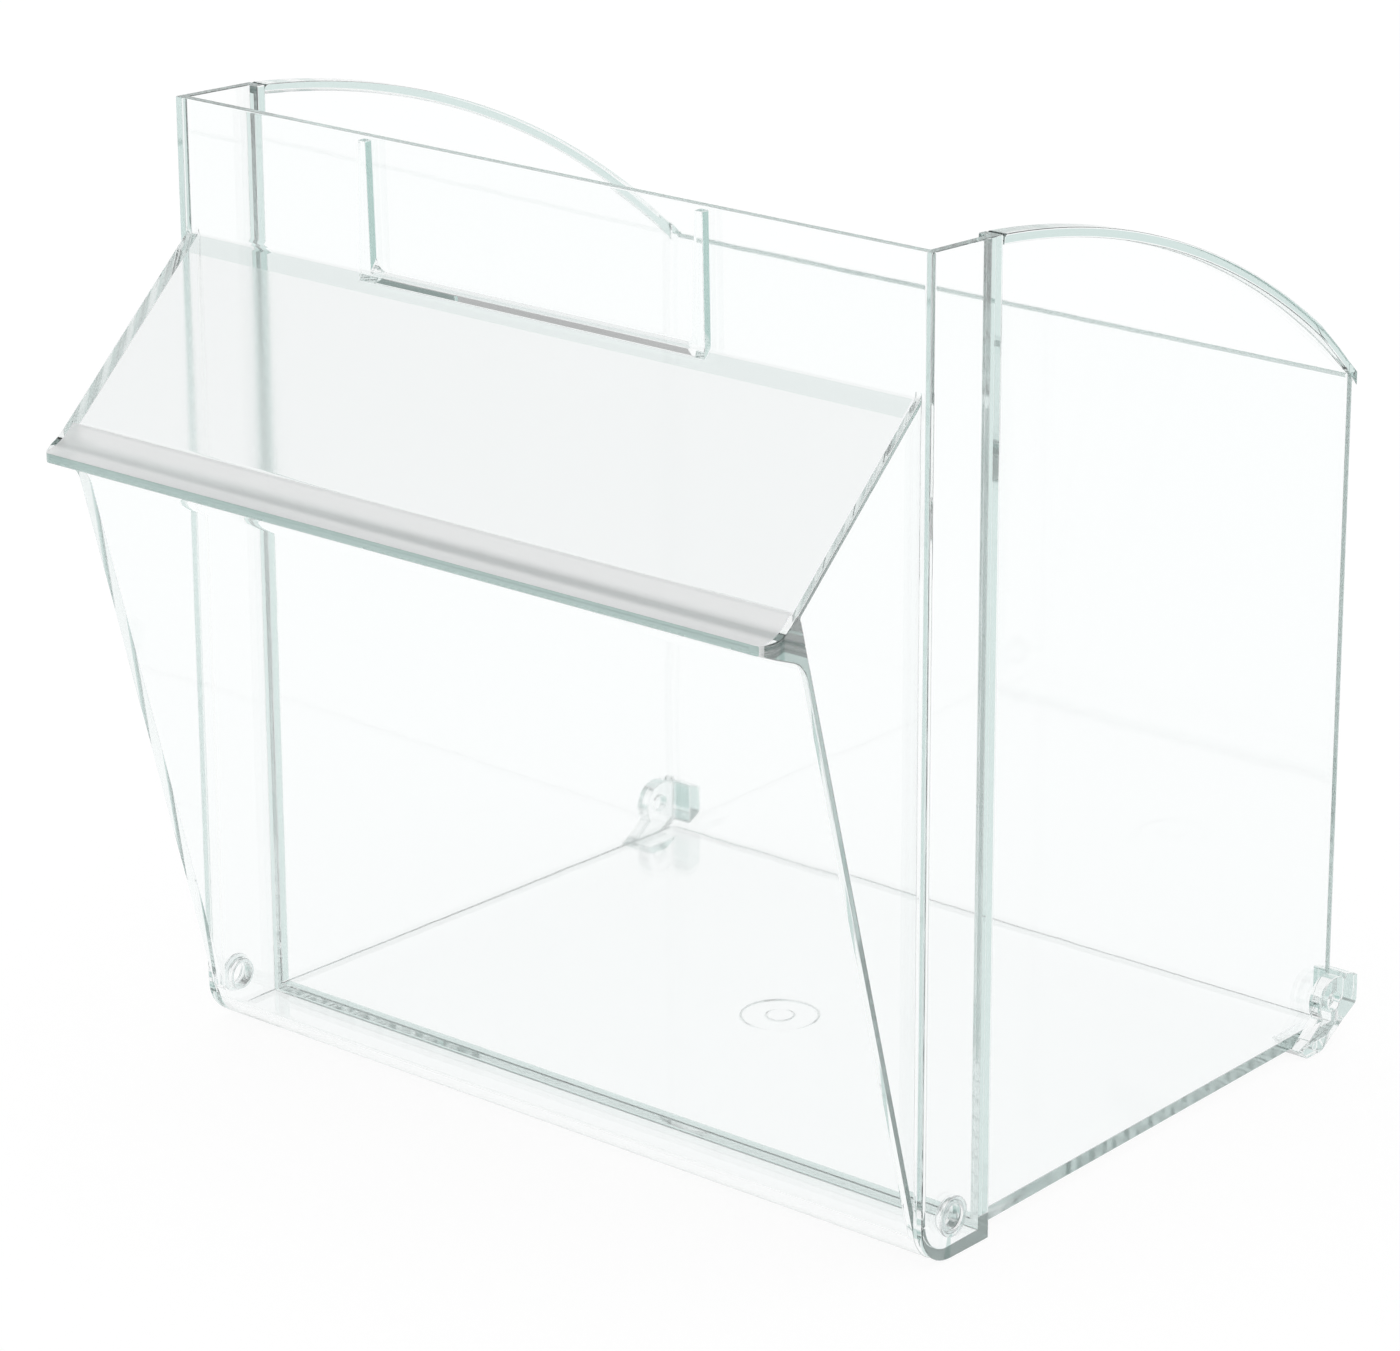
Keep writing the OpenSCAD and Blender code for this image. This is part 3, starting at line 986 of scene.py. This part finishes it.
@dataclass
class FrontPanel:
    """Frame band, upper front wall, hood, pull lip, lower front wall and wings."""

    sizes: BinSizes
    edge: float = 0.45
    crease_z: float = 261.0
    crease_r: float = 3.0
    nose_reach: float = 53.5
    nose_z: float = 211.5
    nose_r: float = 5.0
    foot_y: float = 3.0
    lip_reach: float = 66.0
    lip_t: float = 2.4
    lip_z: float = 206.0
    lip_fall: float = 1.0
    lip_root_z: float = 197.5
    lip_sweep_r: float = 14.0
    lip_root_r: float = 9.0
    lip_edge_r: float = 1.1
    lip_end_r: float = 8.0
    pivot_hole_r: float = 5.05
    crisp_foot: float = 15.0
    joint_stop: float = 2.0
    tip_below: float = 6.0
    tip_above: float = 2.0
    tip_crisp: float = 1.6
    tip_deep: float = 1.4

    def panel_path(self, grow: float = 0.0) -> list[Corner]:
        """Draws the side outline of the front wall, hood, nose and lower wall.

        Args:
            grow: How far its top is raised.

        Returns:
            The corners, counter-clockwise seen from +x.
        """
        s = self.sizes
        return [
            (0, s.body_h + grow, 0),
            (0, self.crease_z, self.crease_r),
            (-self.nose_reach, self.nose_z, self.nose_r),
            (self.foot_y, 0, s.band_corner_r),
            (s.band_d, 0, 0),
            (s.band_d, s.arc_z(s.band_d) + grow, 0),
        ]

    def hood_y(self, z: float) -> float:
        """Y of the hood's outer face at a height."""
        return -self.nose_reach + (z - self.nose_z) * self.nose_reach / (self.crease_z - self.nose_z)

    def lower_y(self, z: float) -> float:
        """Y of the lower front wall's outer face at a height."""
        return self.foot_y - (self.foot_y + self.nose_reach) * z / self.nose_z

    def _lip(self) -> Solid:
        """Makes the pull lip.

        Returns:
            The solid, which reaches back into the panel.
        """
        s = self.sizes
        sweep_z, upper_z = self.lip_z + self.lip_fall, self.nose_z + s.wall
        lower_z = self.lip_root_z - 2 * s.wall
        side: list[Corner] = [
            (self.hood_y(upper_z), upper_z, 0),
            (self.hood_y(sweep_z), sweep_z, self.lip_sweep_r),
            (-self.lip_reach, self.lip_z, self.lip_edge_r),
            (-self.lip_reach, self.lip_z - self.lip_t, self.lip_edge_r),
            (self.lower_y(self.lip_root_z), self.lip_root_z, self.lip_root_r),
            (self.lower_y(lower_z), lower_z, 0),
        ]
        half = s.half_w - s.side_step
        plan: list[Corner] = [
            (-half, -self.lip_reach, self.lip_end_r),
            (half, -self.lip_reach, self.lip_end_r),
            (half, 0, 0),
            (-half, 0, 0),
        ]
        return Solid.across(rounded(side), -half, half).meet(Solid.upright(rounded(plan), 0))

    def _tip(self, depth: float) -> Zone:
        """Boxes the lip's edge to a depth."""
        high = (FAR, depth - self.lip_reach, self.lip_z + self.tip_above)
        return (-FAR, -FAR, self.lip_z - self.tip_below), high

    def build(self, material: Material) -> Object:
        """Builds the front panel.

        Args:
            material: The moulding's finish.

        Returns:
            The finished piece.
        """
        s = self.sizes
        half, inner = s.half_w - s.side_step, s.half_w - s.side_step - s.wall
        panel = Solid.across(rounded(s.band_path()), -s.half_w, s.half_w)
        panel.join(Solid.across(rounded(self.panel_path()), -half, half))
        panel.join(self._lip())
        band = rounded(inset(s.band_path(2 * s.wall), s.wall))
        panel.cut(Solid.across(band, s.wall - s.half_w, s.half_w - s.wall))
        panel.cut(Solid.across(rounded(inset(self.panel_path(2 * s.wall), s.wall)), -inner, inner))
        rear = rectangle(s.band_d - s.wall - PAST, s.band_d + PAST, s.floor_top, FAR)
        panel.cut(Solid.across(rear, -inner, inner))
        panel.cut(Solid.across(circle((s.band_corner_r,) * 2, self.pivot_hole_r)))
        crisp = mirrored(
            (inner - s.joint_margin, -FAR, -PAST), (half + s.joint_margin, self.crisp_foot, self.crisp_foot)
        )
        crisp += s.joint_zones(s.arc_z(s.band_d) - self.joint_stop) + [self._tip(self.tip_crisp)]
        # The lip's tip counts as an edge all over, so it gets the painted edge shade
        nose = [self._tip(self.tip_deep)]
        return panel.piece("front_moulding", self.edge, s.shift_y, material, crisp=crisp, also_deep=nose)


@dataclass
class LabelFrame:
    """Two ribs that widen downwards and a ledge, round the label space."""

    sizes: BinSizes
    panel: FrontPanel
    edge: float = 0.3
    width: float = 134.0
    rib_foot_w: float = 4.9
    rib_top_w: float = 3.0
    rib_lean: float = 0.8
    depth: float = 2.8
    ledge_h: float = 0.2
    ledge_back_h: float = 0.9
    front_r: float = 0.8
    back_r: float = 4.6
    top_gap: float = 1.0
    root: float = 1.0
    spare: float = 10.0
    crisp_y: float = -0.45
    deep: float = 2.9

    def _outline(self, ledge_h: float, corner_r: float, y: float) -> list[Corner]:
        """Draws the frame's outline.

        Args:
            ledge_h: Height of the ledge above the crease.
            corner_r: Radius of the two inner corners.
            y: Distance behind the wall's face.

        Returns:
            The points, as places in space.
        """
        foot, top = self.width / 2, self.width / 2 - self.rib_lean
        low, high = self.panel.crease_z - 2 * self.depth, self.sizes.body_h - self.top_gap
        inner_foot, inner_top = foot - self.rib_foot_w, top - self.rib_top_w
        ledge = self.panel.crease_z + ledge_h
        path: list[Corner] = [
            (-foot, low, 0), (foot, low, 0), (top, high, 0), (inner_top, high, 0),
            (inner_foot, ledge, corner_r), (-inner_foot, ledge, corner_r), (-inner_top, high, 0),
            (-top, high, 0),
        ]
        return [(x, y, z) for x, z in rounded(path)]

    def build(self, material: Material) -> Object:
        """Builds the label frame.

        Args:
            material: The moulding's finish.

        Returns:
            The finished piece.
        """
        s = self.sizes
        deeper = 1 + self.root / self.depth
        back_h = self.ledge_h + (self.ledge_back_h - self.ledge_h) * deeper
        back_r = self.front_r + (self.back_r - self.front_r) * deeper
        frame_solid = Solid.loft([
            self._outline(self.ledge_h, self.front_r, -self.depth),
            self._outline(back_h, back_r, self.root),
        ])
        frame_solid.cut(Solid.across(rounded(inset(self.panel.panel_path(self.spare), -s.seam))))
        wall = [((-FAR, self.crisp_y, 0), (FAR, FAR, FAR))]
        return frame_solid.piece(
            "label_frame_moulding", self.edge, s.shift_y, material, crisp=wall, deep=self.deep
        )


@dataclass
class PivotBushes:
    """Two flanged bushes that turn on the cabinet's pins."""

    sizes: BinSizes
    edge: float = 0.05
    bore_r: float = 4.0
    barrel_r: float = 5.0
    flange_r: float = 6.25
    flange_t: float = 1.0
    gap: float = 0.2
    stand: float = 0.8
    edge_r: float = 0.3
    steps: int = 72

    def _profile(self) -> Mesh:
        """Draws half the section of a bush.

        Returns:
            Its edges, with x outwards from the bore and y inwards from the flange's seat.
        """
        r, inner = self.edge_r, self.sizes.wall + self.stand + self.gap
        barrel, flange = self.barrel_r - self.bore_r, self.flange_r - self.bore_r
        path: list[Corner] = [
            (0, -self.flange_t, r), (flange, -self.flange_t, r), (flange, 0, r), (barrel, 0, 0),
            (barrel, inner, r), (0, inner, r),
        ]
        points = rounded(path)
        mesh = bpy.data.meshes.new("bush_section")
        count = len(points)
        mesh.from_pydata([(x, y, 0) for x, y in points], [(i, (i + 1) % count) for i in range(count)], [])
        return mesh

    def build(self, material: Material) -> Object:
        """Turns one bush and places it on both sides.

        Args:
            material: The bushes' finish.

        Returns:
            The finished pair.
        """
        s = self.sizes
        recipe = Recipe(
            "turned_bushes", Bore_radius=self.bore_r, Seat=s.half_w + self.gap, Pivot=s.band_corner_r,
            Steps=self.steps, Material=material,
        )
        tree, given = recipe.tree, recipe.inputs
        section = node(tree, "GeometryNodeMeshToCurve", Mesh=given["Geometry"])
        round_bore = {"Resolution": given["Steps"], "Radius": given["Bore radius"]}
        path = node(tree, "GeometryNodeCurvePrimitiveCircle", **round_bore)
        path = node(tree, "GeometryNodeSetCurveNormal", {"mode": "Z_UP"}, Curve=path)
        bush = node(tree, "GeometryNodeCurveToMesh", Curve=path, Profile_Curve=section)
        left = node(tree, MATH, MULTIPLY, i0=given["Seat"], i1=-1.0)
        across = node(tree, MATH, MULTIPLY, i0=given["Seat"], i1=2.0)
        start = node(tree, "ShaderNodeCombineXYZ", X=left, Y=given["Pivot"], Z=given["Pivot"])
        offset = node(tree, "ShaderNodeCombineXYZ", X=across)
        seats = node(tree, "GeometryNodeMeshLine", Count=2, Start_Location=start, Offset=offset)
        side = node(tree, "GeometryNodeInputIndex")
        turn = node(tree, MATH, MULTIPLY_ADD, i0=side, i1=math.pi, i2=-math.pi / 2)
        turn = node(tree, "ShaderNodeCombineXYZ", Y=turn)
        pair = node(
            tree, "GeometryNodeInstanceOnPoints", Points=seats, Instance=bush,
            Rotation=turn,
        )
        recipe.end(pair)
        bushes = Solid.of_mesh(recipe.run(self._profile()))
        return bushes.piece("pivot_bushes", self.edge, s.shift_y, material, steps=1)


@dataclass
class StopLugs:
    """Hooked lugs round the lower rear corners, each with a knuckle and a foot."""

    sizes: BinSizes
    edge: float = 0.35
    side: float = 5.0
    back: float = 6.0
    wrap: float = 9.0
    height: float = 22.5
    knuckle_r: float = 8.0
    knuckle_z: float = 15.0
    knuckle_in: float = 6.5
    edge_r: float = 1.3
    eye_r: float = 3.0
    eye_depth: float = 2.6
    foot_in: float = 21.0
    foot_len: float = 8.0
    knee_z: float = 7.0
    knee_in: float = 1.6
    heel_z: float = 11.0
    top_fall: float = 2.0

    def _side_path(self) -> list[Corner]:
        """Draws the side outline of the foot, the knee and the upright back.

        Returns:
            The corners, each with its radius.
        """
        floor, d = self.sizes.floor_step, self.sizes.body_d
        return [
            (d - self.foot_in - floor, floor, 0),
            (d - self.foot_in, 0, self.edge_r),
            (d - self.foot_in + self.foot_len, 0, 2 * self.edge_r),
            (d - self.knee_in, self.knee_z, self.edge_r),
            (d + self.back, self.heel_z, 2 * self.edge_r),
            (d + self.back, self.height - self.top_fall, self.edge_r),
            (d, self.height, 0),
            (d - self.knuckle_in, self.knuckle_z, 0),
        ]

    def build(self, material: Material) -> Object:
        """Builds both lugs.

        Args:
            material: The moulding's finish.

        Returns:
            The finished pair.
        """
        s = self.sizes
        outer, inner = s.half_at(s.body_d) + self.side, s.half_at(s.body_d) - self.wrap
        centre = (s.body_d - self.knuckle_in, self.knuckle_z)
        lug = Solid.across(rounded(self._side_path()), inner, outer)
        lug.join(Solid.across(circle(centre, self.knuckle_r), inner, outer))
        lug.cut(Solid.upright(rounded(inset(s.tub_path(s.band_d), -s.seam)), s.floor_step - s.seam))
        lug.cut(Solid.across(circle(centre, self.eye_r), outer - self.eye_depth))
        return lug.paired("stop_lug_pair", material).piece("stop_lugs", self.edge, s.shift_y, material)


@dataclass
class Studio:
    """Floor, soft light and the camera at the photograph's angle."""

    place: tuple[float, float, float] = (0.992346, -1.166485, 0.665642)
    turn: tuple[float, float, float] = (0.707940, 0.337740, 0.004240)
    lens: float = 136.192
    bounces: int = 80
    wall_top: float = 0.42
    ring_low: float = 0.56
    ring_high: float = 0.76
    lamp_low: float = 0.88
    ring: float = 0.42
    floor_half: float = 12.0
    floor_gap: float = 0.0004
    sensor: float = 36.0
    nearest: float = 0.05
    furthest: float = 60.0

    def _tent(self) -> bpy.types.World:
        """Makes a white light tent with a grey ring between its walls and the light on top.

        Returns:
            The world.
        """
        world = bpy.data.worlds.new("light_tent")
        world.use_nodes = True
        tree = world.node_tree
        tree.nodes.clear()
        up = node(tree, "ShaderNodeSeparateXYZ", Vector=node(tree, "ShaderNodeTexCoord").outputs["Generated"])
        ramp = node(tree, "ShaderNodeValToRGB", i0=up.outputs["Z"])
        ramp.color_ramp.interpolation = "EASE"
        levels = (self.wall_top, self.ring_low, self.ring_high, self.lamp_low)
        stops = tuple(zip(levels, (1.0, self.ring, self.ring, 1.0)))
        for _ in stops[2:]:
            ramp.color_ramp.elements.new(0.5)
        for stop, (level, grey) in zip(ramp.color_ramp.elements, stops):
            stop.position, stop.color = level, (grey, grey, grey, 1.0)
        light = node(tree, "ShaderNodeBackground", Color=ramp, Strength=1.0)
        node(tree, "ShaderNodeOutputWorld", Surface=light)
        return world

    def build(self) -> None:
        """Makes the floor, the world and the camera."""
        scene = bpy.context.scene
        bm = bmesh.new()
        bmesh.ops.create_grid(bm, x_segments=1, y_segments=1, size=self.floor_half)
        mesh = bpy.data.meshes.new("floor")
        bm.to_mesh(mesh)
        bm.free()
        mesh.transform(Matrix.Translation((0, 0, -self.floor_gap)))
        mesh.materials.append(StudioSweep().build())
        floor = bpy.data.objects.new("floor", mesh)
        scene.collection.objects.link(floor)
        scene.world = self._tent()
        data = bpy.data.cameras.new("photo_camera")
        camera = bpy.data.objects.new("photo_camera", data)
        scene.collection.objects.link(camera)
        yaw, pitch, roll = self.turn
        ahead = Vector((-math.sin(yaw) * math.cos(pitch), math.cos(yaw) * math.cos(pitch), -math.sin(pitch)))
        right = Vector((math.cos(yaw), math.sin(yaw), 0))
        tilt = Matrix.Rotation(roll, 3, ahead)
        right, up = tilt @ right, tilt @ right.cross(ahead)
        rows = Matrix((right, up, -ahead)).transposed().to_4x4()
        camera.matrix_world = Matrix.Translation(self.place) @ rows
        data.lens, data.sensor_width = self.lens, self.sensor
        data.clip_start, data.clip_end = self.nearest, self.furthest
        scene.camera = camera
        scene.view_settings.view_transform = "Standard"
        for kind in ("max", "transmission", "glossy", "transparent_max"):
            setattr(scene.cycles, f"{kind}_bounces", self.bounces)


def dress(obj: Object, body: str, slot: str, *nodes: str) -> None:
    """Hangs a piece on its body in the frame and hides the frame's nodes that it stands for.

    Args:
        obj: The piece.
        body: The body that it rides on.
        slot: Not used.
        nodes: The frame's nodes that it stands for.
    """
    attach(obj, body)
    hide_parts(*nodes)
    LOG.info("%s: %d faces", obj.name, len(obj.data.polygons))


def main() -> None:
    """Builds the bin, the studio and the camera."""
    logging.basicConfig(level=logging.INFO, format="%(message)s")
    Studio().build()
    sizes = BinSizes()
    panel = FrontPanel(sizes)
    clear, etched, bush = Styrene().build(), EtchedStyrene().build(), Polycarbonate().build()
    dress(Tub(sizes).build(clear), "bin", "clear_moulding", "tub")
    dress(panel.build(etched), "bin", "clear_moulding", "front_panel")
    dress(LabelFrame(sizes, panel).build(clear), "bin", "clear_moulding", "label_frame")
    dress(StopLugs(sizes).build(clear), "bin", "clear_moulding", "stop_lug_left", "stop_lug_right")
    dress(PivotBushes(sizes).build(bush), "pivot", "clear_bush", "pivot_bush_left", "pivot_bush_right")


if __name__ == "__main__":
    main()
